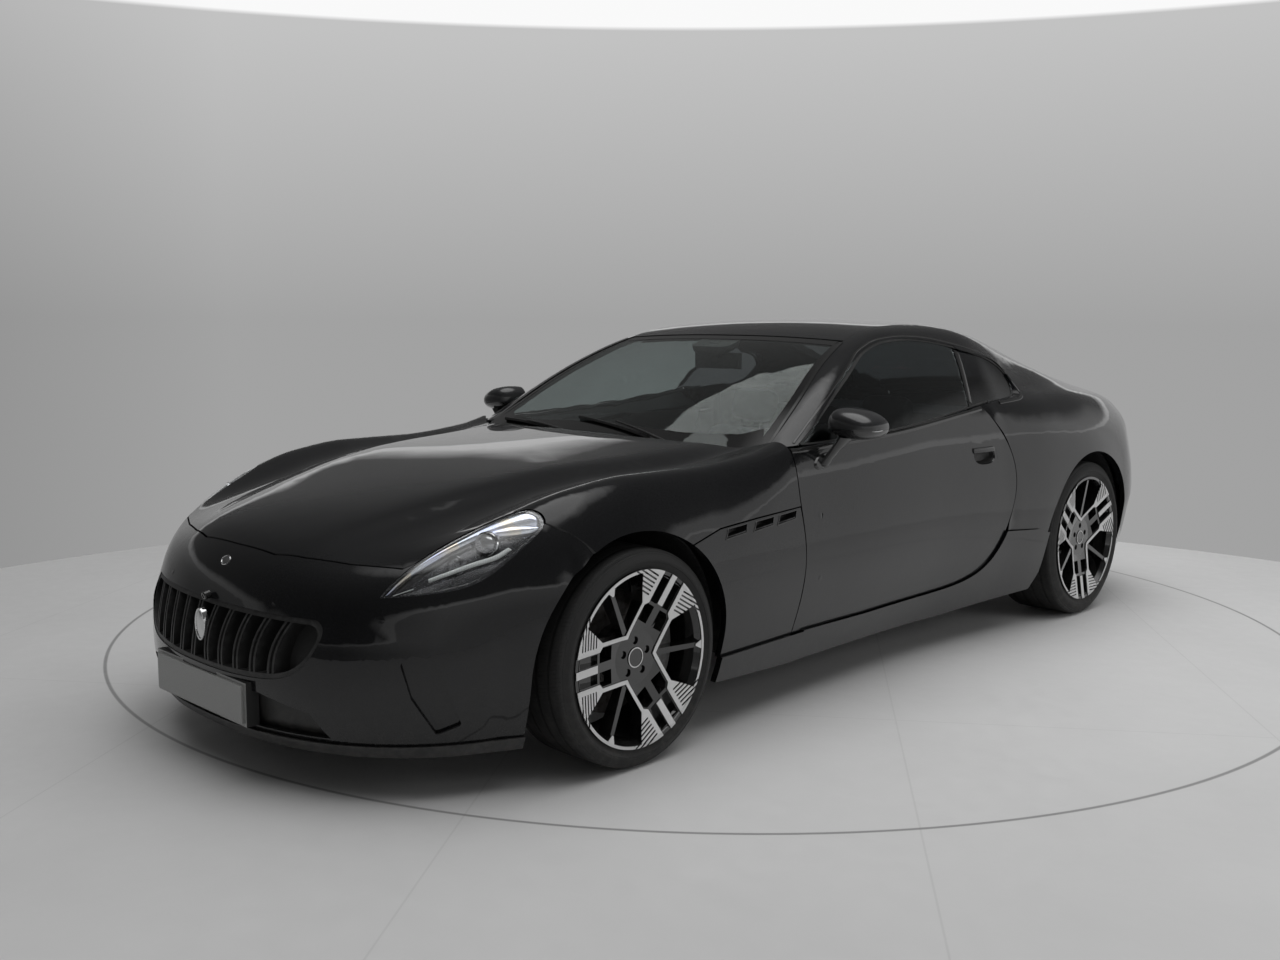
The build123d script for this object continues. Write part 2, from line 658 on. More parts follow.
def grille_outline(inset):
    """The mouth of the grille in front view, shrunk by inset."""
    low, high = grille_low + inset, grille_high - inset
    left = [(470 - inset, high), (498 - inset, 484 - inset * 0.7), (486 - inset, 420), (420 - inset * 0.8, 352 + inset * 0.7),
            (300 - inset * 0.4, low + 8)]
    right = [(-x, z) for x, z in reversed(left)]
    with BuildSketch(Plane.XZ.offset(1900), mode=Mode.PRIVATE) as sketch:
        with BuildLine():
            Spline(*left, (0, low), *right)
            Line(right[-1], left[0])
        make_face()
    return sketch.sketch


with BuildSketch(Plane.XZ.offset(1900)) as intake_shape:
    with BuildLine():
        Polyline((0, 285), (300, 285), (470, 250), (520, 180), (0, 180), (0, 285))
    make_face()
    mirror(about=Plane.YZ)


def front_slab(thickness, inset=0.0, field=lower_body):
    return end_slab(field, (0, -1750, 420), (-104, 104), (-26, 48), (75, 30), -1, thickness, inset)


recess_plane = Plane(origin=(745, -2160, 310), x_dir=(0.515, 0.857, 0), z_dir=(0.857, -0.515, 0))
recess_depth = 12.0
recess_points = [(-100, 94), (-70, 118), (-8, 106), (66, -87), (-4, -112), (-72, -4)]


def patch_slab(plane, reach_x, reach_y, counts, thickness, inset):
    """The skin over a plane, met by rays square to it."""
    u, v = grid(-reach_x, reach_x, counts[0], -reach_y, reach_y, counts[1] * ray_density)
    origin, along, out = [np.array(tuple(v)) for v in (plane.origin, plane.x_dir, plane.z_dir)]
    across = np.cross(out, along)
    start = origin + u[..., None] * along + v[..., None] * across - 180.0 * out
    return skin_slab(lower_body, start, out + 0.0 * start, thickness, inset)


with BuildPart() as corner_recess:
    add(patch_slab(recess_plane, 130, 140, (12, 12), recess_depth + 6.0, -6.0))
    with BuildSketch(recess_plane.offset(-200)):
        with BuildLine():
            Polyline(*recess_points, close=True)
        make_face()
        fillet(vertices(), 10)
    extrude(amount=400, mode=Mode.INTERSECT)
    mirror(about=Plane.YZ)
with BuildPart() as front_bumper:
    add(front_slab(panel))
    extrude(plan_region([(x, y - shut_gap) for x, y in front_line], 0), amount=2000, mode=Mode.SUBTRACT)
    with Locations((0, -2100, bumper_foot - 500)):
        Box(2400, 2400, 1000, mode=Mode.SUBTRACT)
    extrude(grille_outline(0.0), amount=900, mode=Mode.SUBTRACT)
    extrude(intake_shape.sketch, amount=900, mode=Mode.SUBTRACT)
    add(both_front_arches, mode=Mode.SUBTRACT)
    add(both_lamp_holes, mode=Mode.SUBTRACT)
    add(corner_recess.part, mode=Mode.SUBTRACT)
finish(front_bumper, "front_bumper")

# ---------------------------------------------------------------- wings and sills
sill_top = 268.0 - shut_gap
with BuildSketch(Plane.YZ) as wing_region:
    with BuildLine():
        Polyline((-1500, sill_top + seam), (-764 - shut_gap, sill_top + seam))
        Spline((-764 - shut_gap, sill_top + seam), *[(y - shut_gap, z) for y, z in reversed(door_front[2:-1])], (-757, 716 - shut_gap))
        Polyline((-757, 716 - shut_gap), *[(y, z - shut_gap) for y, z in wing_line[1:]], (-1500, sill_top + seam))
    make_face()
with BuildPart() as left_wing:
    add(side_slab(lower_body, (-1420, -740), 160, 730, (16, 14), panel))
    extrude(wing_region.sketch, amount=far, mode=Mode.INTERSECT)
    add(front_arch, mode=Mode.SUBTRACT)
    with BuildSketch(Plane.YZ) as vents:
        for start, height in ((-1178, 668), (-1035, 676), (-905, 683)):
            with BuildLine():
                Polyline((start, height - 14), (start + 18, height + 13), (start + 108, height + 19), (start + 98, height - 4), (start, height - 14))
            make_face()
    extrude(amount=far, mode=Mode.SUBTRACT)
finish(left_wing, "left_wing")
right_wing = mirrored(left_wing, "right_wing")

sill_front = -1165.0
with BuildSketch(Plane.YZ) as sill_region:
    with BuildLine():
        Polyline(
            (sill_front, 175), (-760, 150), (300, 140), (940, 172), (1000, 300), (1010, 420), (900, 452),
            (640, 470), (450, 470), (450, 320), (-700, 320), (-700, sill_top), (-1200, sill_top), (sill_front, 175),
        )
    make_face()
sill_field = lambda x, y, z: lower_body(x, y, z) - 10.0
with BuildPart() as left_sill:
    add(side_slab(sill_field, (-1260, 1040), 120, 500, (40, 14), panel))
    extrude(sill_region.sketch, amount=far, mode=Mode.INTERSECT)
    add(front_arch, mode=Mode.SUBTRACT)
    add(rear_arch, mode=Mode.SUBTRACT)
    extrude(door_outline(door_belt, shut_gap), amount=far, mode=Mode.SUBTRACT)
finish(left_sill, "left_sill")
right_sill = mirrored(left_sill, "right_sill")

# ---------------------------------------------------------------- doors
door_span = (-785, 725)
door_top = lambda y: belt_at(np.clip(y, -748, 720)) + 3.0
mirror_centre = (965.0, -520.0, 978.0)
with BuildPart() as left_door:
    add(side_slab(lower_body, door_span, 240, door_top, (38, 20), door_skin))
    extrude(door_outline([(475, 984), (0, 937), (-400, 915)]), amount=far, mode=Mode.INTERSECT)
with BuildPart() as door_inner:
    add(side_slab(lower_body, door_span, 240, door_top, (38, 20), door_depth))
    with BuildSketch(Plane.YZ):
        with BuildLine():
            Polyline((-722, 285), (380, 315), (560, 460), (640, 560), (664, 680), (652, 780), (600, 880), (525, 978),
                     (475, 972), (0, 925), (-400, 903), (-722, 890), (-722, 285))
        make_face()
    extrude(amount=far, mode=Mode.INTERSECT)
with BuildPart() as left_door_whole:
    add(left_door.part)
    add(door_inner.part)
    for height in hinge_heights:
        with BuildSketch(Plane.XY.offset(height - hinge_strap / 2 - shut_gap)):
            with BuildLine():
                Polyline((hinge_x, hinge_y + 14), (hinge_x - 130, hinge_y + 14), (hinge_x - 130, hinge_y - 120),
                         (hinge_x - 42, hinge_y - 120), (hinge_x + 12, hinge_y - 6), (hinge_x, hinge_y + 14))
            make_face()
            with Locations((hinge_x, hinge_y)):
                Circle(hinge_boss_radius + 3)
        extrude(amount=hinge_strap + 2 * shut_gap, mode=Mode.SUBTRACT)
        with Locations((hinge_x, hinge_y, height)):
            Cylinder(hinge_pin_radius + pin_clearance, hinge_strap + 2 * shut_gap + 40, mode=Mode.SUBTRACT)
    with Locations((918, 478, 797)):
        Box(100, 190, 74, mode=Mode.SUBTRACT)
finish(left_door_whole, "left_door")
right_door = mirrored(left_door_whole, "right_door")

glass_inset = 6.0
glass_top = lambda y: np.minimum(1300.0, roof_z(y) - roof_crown(y) * 650.0**2 - 30.0)
b_line = lambda shift: (390.0 + shift, 690.0 + shift)  # where the two side windows meet, at z 800 and 1400
with BuildPart() as left_door_glass:
    add(side_slab(cabin, (-715, 720), 880, glass_top, (26, 12), glass, glass_inset))
    extrude(dlo_region(-5.0, (-2000, -2000), b_line(-4.0)), amount=far, mode=Mode.INTERSECT)
    with BuildSketch(Plane.YZ):
        with BuildLine():
            Polyline((-900, 0), *[(a, float(belt_at(a)) + belt_gap) for a in (-748, -400, 0, 475, 720)], (900, 0), (-900, 0))
        make_face()
    extrude(amount=far, mode=Mode.SUBTRACT)
finish(left_door_glass, "left_door_glass")
right_door_glass = mirrored(left_door_glass, "right_door_glass")

with BuildPart() as left_quarter_glass:
    add(side_slab(cabin, (420, 1040), 960, glass_top, (14, 12), glass, glass_inset))
    extrude(dlo_region(-0.5, b_line(4.0), (2000, 2000)), amount=far, mode=Mode.INTERSECT)
finish(left_quarter_glass, "left_quarter_glass")
right_quarter_glass = mirrored(left_quarter_glass, "right_quarter_glass")

# ---------------------------------------------------------------- mirrors
with BuildPart() as left_mirror:
    with BuildSketch(Plane(origin=mirror_centre, x_dir=(1, 0, 0), z_dir=(0, -1, 0)).offset(60)):
        RectangleRounded(110, 60, 28)
    with BuildSketch(Plane(origin=mirror_centre, x_dir=(1, 0, 0), z_dir=(0, -1, 0)).offset(15)):
        RectangleRounded(176, 112, 44)
    with BuildSketch(Plane(origin=mirror_centre, x_dir=(1, 0, 0), z_dir=(0, -1, 0)).offset(-55)):
        RectangleRounded(182, 118, 40)
    loft()
    with BuildSketch(Plane.XY.offset(838)):
        with Locations((900, -590)):
            SlotOverall(70, 34)
    with BuildSketch(Plane.XY.offset(940)):
        with Locations((948, -540)):
            SlotOverall(110, 44)
    loft()
    add(left_door_whole.part, mode=Mode.SUBTRACT)
finish(left_mirror, "left_mirror")
right_mirror = mirrored(left_mirror, "right_mirror")

# ---------------------------------------------------------------- body sides, roof, screens
pillar_depth = 34.0
roof_edge = [(762, -752), (700, -500), (640, -300), (585, -87), (560, 60), (556, 500), (548, 1010), (560, 1500), (579, 1920)]
tail_turn_y, tail_turn_z = 1650.0, 500.0
bumper_line = [(1700, 560), (1780, 618), (2000, 690), (2250, 716), (2600, 720)]
lid_edge = [(572, 1938), (598, 2080), (560, 2260), (530, 2700)]
lid_side = [(x + shut_gap, y) for x, y in lid_edge]
lamp_band = (735.0, 850.0)


def tail_lamp_outline(inset):
    """Side view of the tail lamp, closed."""
    low, high = lamp_band[0] + inset, lamp_band[1] - inset
    return [(2040 + 2 * inset, high - 8), (2120, low), (2700, low), (2700, high), (2040 + 2 * inset, high - 8)]


with BuildSketch(Plane.XY) as inside_rails:
    with BuildLine():
        Polyline(*roof_edge, *lid_side, (0, 2700), (0, -752), roof_edge[0])
    make_face()
    mirror(about=Plane.YZ)
with BuildPart() as left_body_side:
    add(wrap_slab(side_frame, (-752, tail_turn_y), 84, (22, 112), (50, 24, 30), tail_turn_z, pillar_depth))
    extrude(inside_rails.sketch, amount=2000, mode=Mode.SUBTRACT)
    extrude(dlo_region(0.0, (-2000, -2000), (2000, 2000)), amount=far, mode=Mode.SUBTRACT)
    extrude(door_outline(door_belt, shut_gap), amount=far, mode=Mode.SUBTRACT)
    with BuildSketch(Plane.YZ):
        with BuildLine():
            Polyline((-2000, 0), (-2000, 906), (-690, 906), (-400, 905), (475, 960), (660, 700), (660, 470 + seam), (680, 470 + seam), (900, 452 + seam),
                     (1010, 420 + seam), (1200, 300), (1500, 300), *bumper_line, (2600, 0), (-2000, 0))
        make_face()
    extrude(amount=far, mode=Mode.SUBTRACT)
    with BuildSketch(Plane.YZ):
        with BuildLine():
            Polyline(*tail_lamp_outline(0.0))
        make_face()
    extrude(amount=far, mode=Mode.SUBTRACT)
    add(rear_arch, mode=Mode.SUBTRACT)
finish(left_body_side, "left_body_side")
right_body_side = mirrored(left_body_side, "right_body_side")

screen_top, screen_foot = -78.0, -880.0


def between_rails(y_from, y_to, inset):
    """Plan region between the two body sides from one line across the car to another."""
    with BuildSketch(Plane.XY, mode=Mode.PRIVATE) as sketch:
        with BuildLine():
            Polyline(*[(x - inset, y) for x, y in roof_edge], (0, 1930), (0, -752), (roof_edge[0][0] - inset, -752))
        make_face()
        mirror(about=Plane.YZ)
        with BuildLine():
            Polyline(*y_from, *reversed(y_to), y_from[0])
        make_face(mode=Mode.INTERSECT)
    return sketch.sketch


screen_top_line = [(-700, -60), (-560, -66), (0, screen_top), (560, -66), (700, -60)]
rear_glass_top = [(-700, 1020), (-500, 1012), (0, 1000), (500, 1012), (700, 1020)]
rear_glass_foot = [(-700, 1904), (-500, 1912), (0, 1925), (500, 1912), (700, 1904)]
with BuildPart() as roof:
    add(top_slab(cabin, (-600, 600), (-130, 1060), (30, 30), 26.0))
    extrude(between_rails(screen_top_line, rear_glass_top, seam), amount=2000, mode=Mode.INTERSECT)
finish(roof, "roof")

with BuildSketch(Plane.XY) as screen_region:
    with BuildLine():
        Polyline((0, screen_foot), (400, -868), (650, -810), (758, -748), *[(x - seam, y) for x, y in roof_edge[1:4]],
                 (560, -66 - seam), (0, screen_top - seam), (0, screen_foot))
    make_face()
    mirror(about=Plane.YZ)
with BuildPart() as windscreen:
    add(top_slab(cabin, (-790, 790), (-895, -50), (34, 24), glass, 3.0))
    extrude(screen_region.sketch, amount=2000, mode=Mode.INTERSECT)
finish(windscreen, "windscreen")

with BuildPart() as rear_window:
    add(top_slab(whole_skin, (-620, 620), (980, 1960), (30, 30), glass, 2.0))
    extrude(between_rails([(x, y + seam) for x, y in rear_glass_top], rear_glass_foot, seam), amount=2000, mode=Mode.INTERSECT)
finish(rear_window, "rear_window")

# ---------------------------------------------------------------- tail
lid_foot = 720.0
with BuildPart() as boot_lid:
    add(end_slab(whole_skin, (0, 1650, 520), (-75, 75), (6, 75), (46, 34), 1, panel))
    with BuildSketch(Plane.XY):
        with BuildLine():
            Polyline((0, 1930), (500, 1917), *lid_edge, (0, 2700), (0, 1930))
        make_face()
        mirror(about=Plane.YZ)
    extrude(amount=2000, mode=Mode.INTERSECT)
    with Locations((0, 2000, lid_foot - 1000)):
        Box(3000, 3000, 2000, mode=Mode.SUBTRACT)
finish(boot_lid, "boot_lid")

diffuser_shape = [(0, 330), (430, 330), (520, 250), (600, 100), (0, 100)]
with BuildSketch(Plane.YZ.offset(-far)) as bumper_side:
    with BuildLine():
        Polyline((1500, 300), *[(y, z - seam) for y, z in bumper_line], (2600, 180), (1500, 180), (1500, 300))
    make_face()
with BuildPart() as rear_bumper:
    add(end_slab(whole_skin, (0, 1650, 480), (-100, 100), (-26, 26), (64, 26), 1, panel))
    extrude(bumper_side.sketch, amount=2 * far, mode=Mode.INTERSECT)
    with Locations((0, 2300, lid_foot - shut_gap + 100)):
        Box(2 * 560, 600, 200, mode=Mode.SUBTRACT)
    add(both_rear_arches, mode=Mode.SUBTRACT)
    with Locations((0, rear_plate_y + 3 + 50, rear_plate_z)):
        Box(530, 112, 120, mode=Mode.SUBTRACT)
    with BuildSketch(Plane.XZ.offset(-1900)):
        with BuildLine():
            Polyline(*diffuser_shape, diffuser_shape[0])
        make_face()
        mirror(about=Plane.YZ)
    extrude(amount=-900, mode=Mode.SUBTRACT)
finish(rear_bumper, "rear_bumper")

with BuildPart() as left_tail_lamp:
    add(end_slab(whole_skin, (0, 1650, 520), (20, 90), (6, 32), (30, 20), 1, panel))
    with BuildSketch(Plane.YZ):
        with BuildLine():
            Polyline(*tail_lamp_outline(seam))
        make_face()
    extrude(amount=far, mode=Mode.INTERSECT)
    with BuildSketch(Plane.XY):
        with BuildLine():
            Polyline((-100, 1900), *lid_side, (-100, 2700), (-100, 1900))
        make_face()
    extrude(amount=far, mode=Mode.SUBTRACT)
finish(left_tail_lamp, "left_tail_lamp")
right_tail_lamp = mirrored(left_tail_lamp, "right_tail_lamp")

# ---------------------------------------------------------------- tail trim
with BuildPart() as rear_diffuser:
    add(end_slab(whole_skin, (0, 1650, 480), (-100, 100), (-26, 26), (64, 26), 1, 90.0, 8.0))
    with BuildSketch(Plane.XZ.offset(-1900)):
        with BuildLine():
            Polyline(*diffuser_shape, diffuser_shape[0])
        make_face()
        mirror(about=Plane.YZ)
    extrude(amount=-900, mode=Mode.INTERSECT)
    for x in (-300, -150, 0, 150, 300):
        with Locations((x, 2380, 175)):
            Box(90, 400, 80, mode=Mode.SUBTRACT)
finish(rear_diffuser, "rear_diffuser")

with BuildPart() as rear_plate:
    with Locations((0, rear_plate_y, rear_plate_z)):
        Box(520, 6, 110)
finish(rear_plate, "rear_number_plate")

# ---------------------------------------------------------------- headlamps
lamp_cover, lamp_inset = 4.0, 2.0


def lamp_slab(thickness, inset=0.0):
    """The skin over the left headlamp, seen square to its lens."""
    return patch_slab(lamp_plane, 290, 160, (20, 14), thickness, inset)


with BuildPart() as left_lamp_cover:
    add(lamp_slab(lamp_cover, lamp_inset))
    add(lamp_block(-seam, 150, 200), mode=Mode.INTERSECT)
finish(left_lamp_cover, "left_headlamp_cover")
right_lamp_cover = mirrored(left_lamp_cover, "right_headlamp_cover")

def lamp_height(along, across):
    """How far the skin stands above the lamp's plane."""
    start = np.array(tuple(lamp_plane.from_local_coords(Vector(along, across, -180.0))))
    return float(lamp_plane.to_local_coords(Vector(*reach_skin(lower_body, start, np.array(tuple(lamp_plane.z_dir))))).Z)


lamp_rim = 26.0
with BuildPart() as left_lamp:
    add(lamp_slab(18.0, lamp_inset + lamp_cover + seat_gap + lamp_rim + seat_gap))
    add(lamp_block(-seam, 150, 200), mode=Mode.INTERSECT)
    for along, across, radius in ((41, 4, 32), (-62, -20, 26)):
        top = lamp_height(along, across) - 22.0
        with BuildSketch(lamp_plane.offset(top - 24.0)):
            with Locations((along, across)):
                Circle(radius)
        extrude(amount=24.0)
with BuildPart() as lamp_wall:
    add(lamp_slab(lamp_rim + 3.0, lamp_inset + lamp_cover + seat_gap))
    add(lamp_block(-seam, 150, 200), mode=Mode.INTERSECT)
    add(lamp_block(-12.0, 150, 200), mode=Mode.SUBTRACT)
left_lamp.part += lamp_wall.part
finish(left_lamp, "left_headlamp")
right_lamp = mirrored(left_lamp, "right_headlamp")

# ---------------------------------------------------------------- grille and lower front
slat_spread = (50.0, 136.0, 222.0, 306.0, 388.0)


def grille_slab(thickness, inset):
    return end_slab(lower_body, (0, -1750, 420), (-46, 46), (-18, 16), (13, 5), -1, thickness, inset)


with BuildPart() as slat_region:
    with BuildSketch(Plane.XZ.offset(2300)):
        for x in slat_spread:
            for step in (-9.0, 9.0):
                top, middle, foot = x + step, x * 0.93 + step - 8, x * 0.90 + step
                with BuildLine():
                    Spline((top - 4, grille_high - 5), (middle - 4, 420), (foot - 4, grille_low + 2))
                    Line((foot - 4, grille_low + 2), (foot + 4, grille_low + 2))
                    Spline((foot + 4, grille_low + 2), (middle + 4, 420), (top + 4, grille_high - 5))
                    Line((top + 4, grille_high - 5), (top - 4, grille_high - 5))
                make_face()
        mirror(about=Plane.YZ)
        add(grille_outline(8.0).moved(Location((0, -400, 0))), mode=Mode.INTERSECT)
    extrude(amount=200)
with BuildPart() as grille_bowl:
    extrude(grille_outline(15.0), amount=900)
    add(slat_region.part, mode=Mode.SUBTRACT)
with BuildPart() as grille_back:
    add(grille_slab(6.0, 52.0))
    extrude(grille_outline(10.0), amount=900, mode=Mode.INTERSECT)
with BuildPart() as grille:
    add(grille_slab(54.0, 4.0))
    extrude(grille_outline(0.5), amount=900, mode=Mode.INTERSECT)
    add(grille_bowl.part, mode=Mode.SUBTRACT)
    add(grille_back.part)
finish(grille, "grille")

with BuildPart() as lower_grille:
    add(end_slab(lower_body, (0, -1750, 420), (-52, 52), (-26, -4), (41, 10), -1, 6.0, panel + 0.8))
    with BuildSketch(Plane.XZ.offset(1900)):
        with BuildLine():
            Polyline((0, 300), (310, 300), (490, 262), (545, 172), (0, 172), (0, 300))
        make_face()
        mirror(about=Plane.YZ)
    extrude(amount=900, mode=Mode.INTERSECT)
finish(lower_grille, "lower_grille")

with BuildPart() as front_splitter:
    add(end_slab(lower_body, (0, -1750, 420), (-98, 98), (-34, -8), (60, 12), -1, 70.0, -8.0))
    with Locations((0, -2100, bumper_foot - seam + 500)):
        Box(2400, 2400, 1000, mode=Mode.SUBTRACT)
    with Locations((0, -2100, 128 - 500)):
        Box(2400, 2400, 1000, mode=Mode.SUBTRACT)
    add(both_front_arches, mode=Mode.SUBTRACT)
finish(front_splitter, "front_splitter")

with BuildPart() as front_plate:
    with Locations((0, front_plate_y, front_plate_z)):
        Box(520, 8, 110)
    with Locations((0, front_plate_y + 24, front_plate_z)):
        Box(548, 40, 128)
    add(front_bumper.part, mode=Mode.SUBTRACT)
    add(lower_grille.part, mode=Mode.SUBTRACT)
finish(front_plate, "front_number_plate")

# ---------------------------------------------------------------- cowl and wipers
screen_foot_line = [(0, screen_foot), (400, -868), (650, -810), (758, -748)]
with BuildPart() as cowl:
    add(top_slab(cabin, (-735, 735), (-1010, -752), (30, 12), 8.0, 3.0))
    with BuildSketch(Plane.XY):
        with BuildLine():
            Polyline(*[(x, y - seam) for x, y in screen_foot_line], (740, -830), (520, -940), (300, -985), (0, -998),
                     (0, screen_foot - seam))
        make_face()
        mirror(about=Plane.YZ)
    extrude(amount=2000, mode=Mode.INTERSECT)
finish(cowl, "cowl")

# ---------------------------------------------------------------- underbody and structure
tub_x = 780.0
pillar_x = (670.0, 718.0)
bracket_x = 760.0
pillar_y = (-800.0, -630.0)
rail_x = 435.0
front_wall_x = 480.0
rear_wall_x = 594.0
liner_gap = 18.0


def span_box(x, y, z, mode=Mode.ADD):
    """A box between pairs of limits."""
    with Locations(((x[0] + x[1]) / 2, (y[0] + y[1]) / 2, (z[0] + z[1]) / 2)):
        Box(x[1] - x[0], y[1] - y[0], z[1] - z[0], mode=mode)


def liner(axle_y, radius, arch_radius, x_from, x_to, foot):
    """The inner skin of a left wheel arch: a hoop over the wheel."""
    with BuildPart() as hoop:
        with BuildSketch(Plane.YZ.offset(x_from)):
            with Locations((axle_y, radius)):
                Circle(arch_radius + liner_gap + 7)
                Circle(arch_radius + liner_gap, mode=Mode.SUBTRACT)
            with Locations((axle_y, foot - 1000)):
                Rectangle(2000, 2000, mode=Mode.SUBTRACT)
        extrude(amount=x_to - x_from)
    return hoop.part


front_liner = liner(front_axle_y, front_tyre_radius, front_arch_radius, front_wall_x, 860.0, 348.0)
rear_liner = liner(rear_axle_y, rear_tyre_radius, rear_arch_radius, rear_wall_x, 905.0, 310.0)
rest_x, rest_y = 330.0, -2245.0
with BuildPart() as left_structure:
    add(front_liner)
    add(rear_liner)
    span_box((front_wall_x, front_wall_x + 8), (front_axle_y - 406, front_axle_y + 406), (floor_z, 620))
    span_box((rear_wall_x, rear_wall_x + 12), (rear_axle_y - 426, rear_axle_y + 426), (floor_z, 700))
    # sill, hinge pillar, rear side wall of the cabin
    span_box((tub_x - 90, tub_x), (-800, 960), (floor_z, 235))
    span_box((tub_x - 5, 826), (-440, -300), (165, 235))
    span_box(pillar_x, pillar_y, (floor_z, 872))
    span_box((pillar_x[0], bracket_x), pillar_y, (440, 680))
    span_box((pillar_x[0], 918), (-800, -776), (480, 600))
    span_box((700, 740), (690, 960), (floor_z, 980))
    span_box((740, 925), (760, 800), (560, 640))
    # crash rail and suspension towers
    span_box((rail_x - 35, rail_x + 35), (-2300, -780), (250, 350))
    span_box((rail_x - 45, front_wall_x), (front_axle_y - 150, front_axle_y + 150), (165, 560))
    span_box((420, rear_wall_x), (rear_axle_y - 150, rear_axle_y + 150), (165, 380))
    for height in hinge_heights:
        with BuildSketch(Plane.XY.offset(height - hinge_strap / 2)):
            with Locations(((bracket_x - 10 + hinge_x) / 2, hinge_y)):
                Rectangle(hinge_x - bracket_x + 10, 18)
            with Locations((hinge_x, hinge_y)):
                Circle(hinge_boss_radius)
        extrude(amount=hinge_strap)
        with Locations((hinge_x, hinge_y, height)):
            Cylinder(hinge_pin_radius, hinge_strap + 40)
    # jacking pads
    for y in (-640.0, 820.0):
        with Locations((tub_x - 50, y, floor_z - pad_drop / 2)):
            Box(70, 90, pad_drop)

with BuildPart() as tub:
    span_box((-tub_x, tub_x), (-812, 980), (floor_z, floor_z + floor_wall))
    span_box((-front_wall_x, front_wall_x), (-1050, -800), (floor_z, floor_z + floor_wall))
    span_box((-pillar_x[1], pillar_x[1]), (-812, -790), (floor_z, 872))
    span_box((-rear_wall_x, rear_wall_x), (960, 984), (floor_z, 905))
    span_box((-740, 740), (960, 984), (floor_z, 700))
    span_box((-rear_wall_x, rear_wall_x), (980, 2180), (380, 400))
    span_box((-400, 400), (2180, 2350), (380, 400))
    span_box((-400, 400), (2330, 2350), (380, 640))
    span_box((-120, 120), (2345, 2410), (690, lid_foot - seat_gap))
    span_box((-120, 120), (2330, 2350), (600, lid_foot - seat_gap))
    span_box((-200, 200), (2345, 2445), (560, 600))
    span_box((-rail_x - 35, rail_x + 35), (-2310, -2270), (250, 350))
    span_box((-60, 60), (-2310, -2280), (250, 560))
    span_box((-60, 60), (-2412, -2280), (530, 560))
    for x in (-rest_x, rest_x):
        span_box((x - 20, x + 20), (-2310, -2280), (300, 640))
        span_box((x - 20, x + 20), (-2310, rest_y + 20), (620, 640))
        rest_top = height_at(lower_body, x, rest_y) - panel / 2
        with Locations((x, rest_y, (630 + rest_top) / 2)):
            Cylinder(12, rest_top - 630)
    add(left_structure.part)
    add(mirror(left_structure.part, about=Plane.YZ, mode=Mode.PRIVATE))
    add(hood.part.moved(Location((0, 0, -seat_gap))), mode=Mode.SUBTRACT)
    for piece in (left_sill, right_sill, left_wing, right_wing, front_bumper, left_body_side, right_body_side,
                  rear_bumper, cowl, grille, left_lamp, right_lamp, lower_grille, front_plate, rear_diffuser, front_splitter):
        add(piece.part, mode=Mode.SUBTRACT)
finish(tub, "floor_pan")

# ---------------------------------------------------------------- suspension arms
wishbone = 16.0


def make_wishbones(name, axle_y, radius, wall_x):
    """Upper and lower wishbones, reaching from the structure to over and under the uprights' lugs."""
    with BuildPart() as arms:
        for foot in (radius - 130 - 12 - seat_gap - wishbone, radius + 130 + 12 + seat_gap):
            with BuildSketch(Plane.XY.offset(foot)):
                with Locations((steer_x, axle_y)):
                    Circle(18)
                for end in (-1, 1):
                    with BuildLine():
                        Polyline((steer_x + 4, axle_y + end * 16), (wall_x, axle_y + end * 124), (wall_x, axle_y + end * 92),
                                 (steer_x - 14, axle_y), (steer_x + 4, axle_y + end * 16))
                    make_face()
                mirror(about=Plane.YZ)
            extrude(amount=wishbone)
    finish(arms, name)


make_wishbones("front_wishbones", front_axle_y, front_tyre_radius, front_wall_x + 8)
make_wishbones("rear_wishbones", rear_axle_y, rear_tyre_radius, rear_wall_x + 12)

# ---------------------------------------------------------------- battery and drive units
floor_top = floor_z + floor_wall
with BuildPart() as battery:
    span_box((-105, 105), (-560, 540), (floor_top, 350))
    span_box((-480, 480), (540, 940), (floor_top, 300))
finish(battery, "battery_pack")

with BuildPart() as front_drive:
    span_box((-330, 330), (front_axle_y - 150, front_axle_y + 170), (200, 400))
    span_box((-rail_x + 45, rail_x - 45), (front_axle_y - 20, front_axle_y + 20), (280, 330))
finish(front_drive, "front_drive_unit")

with BuildPart() as rear_drive:
    span_box((-380, 380), (rear_axle_y - 150, rear_axle_y + 180), (190, 370))
    span_box((-420, 420), (rear_axle_y - 20, rear_axle_y + 20), (280, 330))
finish(rear_drive, "rear_drive_unit")

# ---------------------------------------------------------------- cabin
driver_x = 370.0
wheel_centre = (driver_x, -330.0, 745.0)
column = Plane(origin=wheel_centre, x_dir=(1, 0, 0), z_dir=(0, 0.92, 0.39))
with BuildPart() as dashboard:
    with BuildSketch(Plane.YZ.offset(-pillar_x[0])):
        with BuildLine():
            Polyline((-788, 560), (-788, 872), (-700, 884), (-560, 862), (-455, 838), (-425, 800), (-440, 720), (-520, 620),
                     (-560, 560), (-788, 560))
        make_face()
    extrude(amount=2 * pillar_x[0])
    with BuildSketch(column.offset(-30 - seat_gap)):
        Circle(34)
    extrude(amount=-170)
    span_box((-100, 100), (-560, -500), (350, 640))
finish(dashboard, "dashboard")

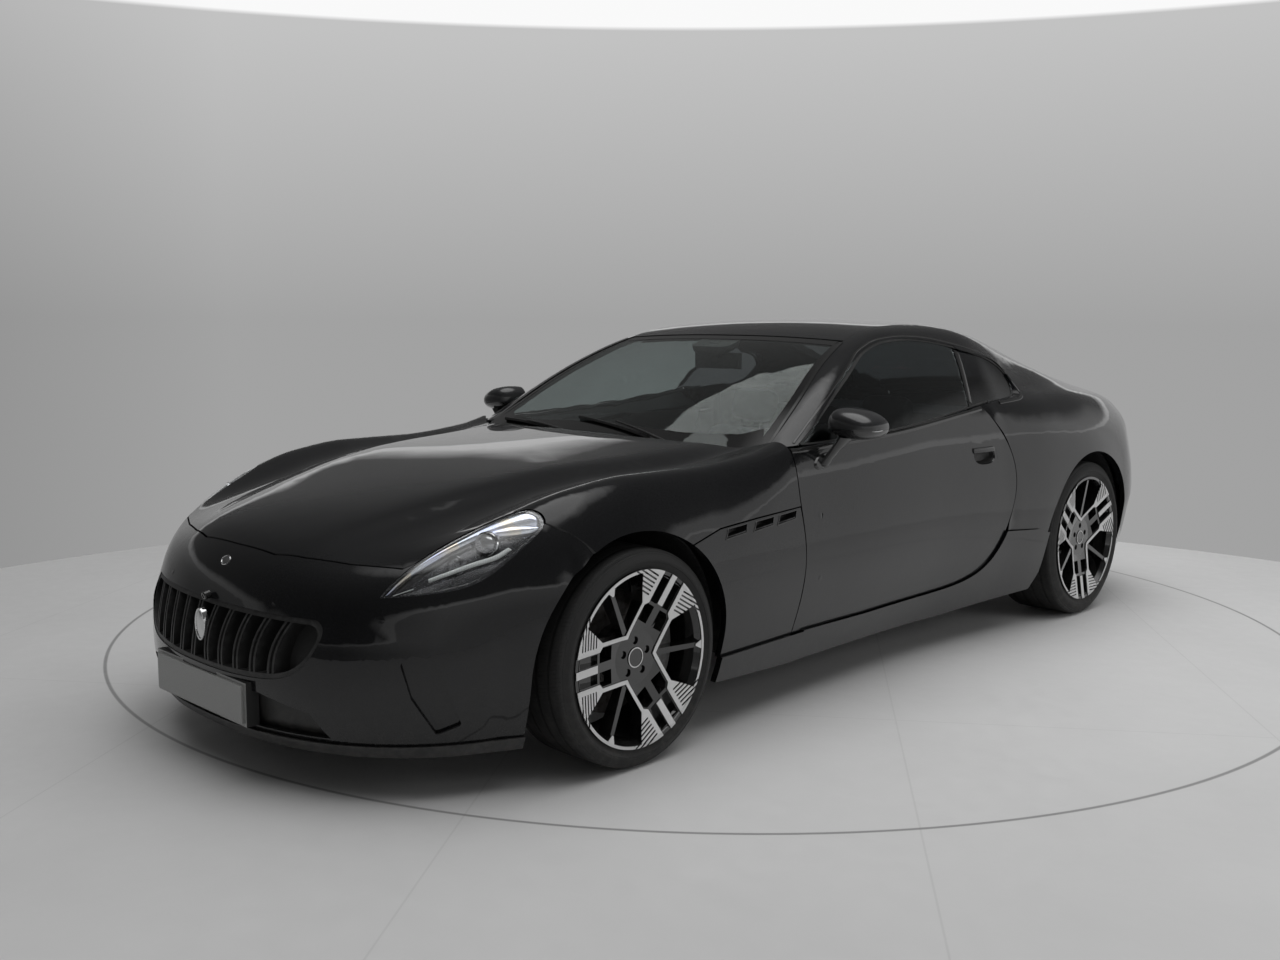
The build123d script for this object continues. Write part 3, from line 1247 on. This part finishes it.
with BuildPart() as steering_wheel:
    with BuildSketch(Plane(origin=wheel_centre, x_dir=(0, -0.39, 0.92), z_dir=(-1, 0, 0))):
        with Locations((178, 0)):
            Circle(15)
    revolve(axis=Axis(wheel_centre, (0, 0.92, 0.39)))
    with BuildSketch(column.offset(-30)):
        Circle(62)
    extrude(amount=40)
    with BuildSketch(column.offset(-12)):
        for degrees in (0, 180, 270):
            with Locations(Rotation(0, 0, degrees)):
                with Locations((105, 0)):
                    Rectangle(130, 34)
    extrude(amount=14)
finish(steering_wheel, "steering_wheel")


def make_seat(name, side):
    with BuildPart() as seat:
        with BuildSketch(Plane.YZ.offset(side * driver_x - 250)):
            with BuildLine():
                Polyline((-210, 240), (-225, 330), (-190, 378), (0, 352), (235, 330), (300, 500), (395, 760), (430, 850),
                         (440, 960), (470, 1045), (530, 1040), (545, 950), (530, 850), (470, 640), (410, 400), (370, 250),
                         (-210, 240))
            make_face()
        extrude(amount=500)
        for x_low, x_high in ((side * driver_x - 300, side * driver_x - 120), (side * driver_x + 120, side * driver_x + 300)):
            span_box((x_low, x_high), (380, 700), (862, 1100), mode=Mode.SUBTRACT)
        span_box((side * driver_x - 200, side * driver_x + 200), (-150, 330), (floor_top, 250))
    finish(seat, name)


make_seat("left_front_seat", 1)
make_seat("right_front_seat", -1)

with BuildPart() as rear_seat:
    for side in (-1, 1):
        with BuildSketch(Plane.YZ.offset(side * 320 - 210)):
            with BuildLine():
                Polyline((660, 300), (640, 385), (680, 420), (850, 395), (895, 560), (925, 860), (958, 880), (958, 300), (660, 300))
            make_face()
        extrude(amount=420)
    span_box((-110, 110), (820, 958), (300, 780))
    span_box((-480, 480), (660, 958), (300, 330))
finish(rear_seat, "rear_seat")

with BuildPart() as parcel_shelf:
    span_box((-rear_wall_x, rear_wall_x), (962, 1560), (905, 917))
    add(left_body_side.part, mode=Mode.SUBTRACT)
    add(right_body_side.part, mode=Mode.SUBTRACT)
finish(parcel_shelf, "parcel_shelf")

with BuildPart() as inner_mirror:
    add(top_slab(cabin, (-60, 60), (-230, -70), (7, 7), 60.0, 3.0 + glass + seat_gap))
    span_box((-20, 20), (-170, -140), (1100, 1400), mode=Mode.INTERSECT)
    with Locations((0, -140, 1170)):
        Box(240, 22, 66)
finish(inner_mirror, "inner_mirror")
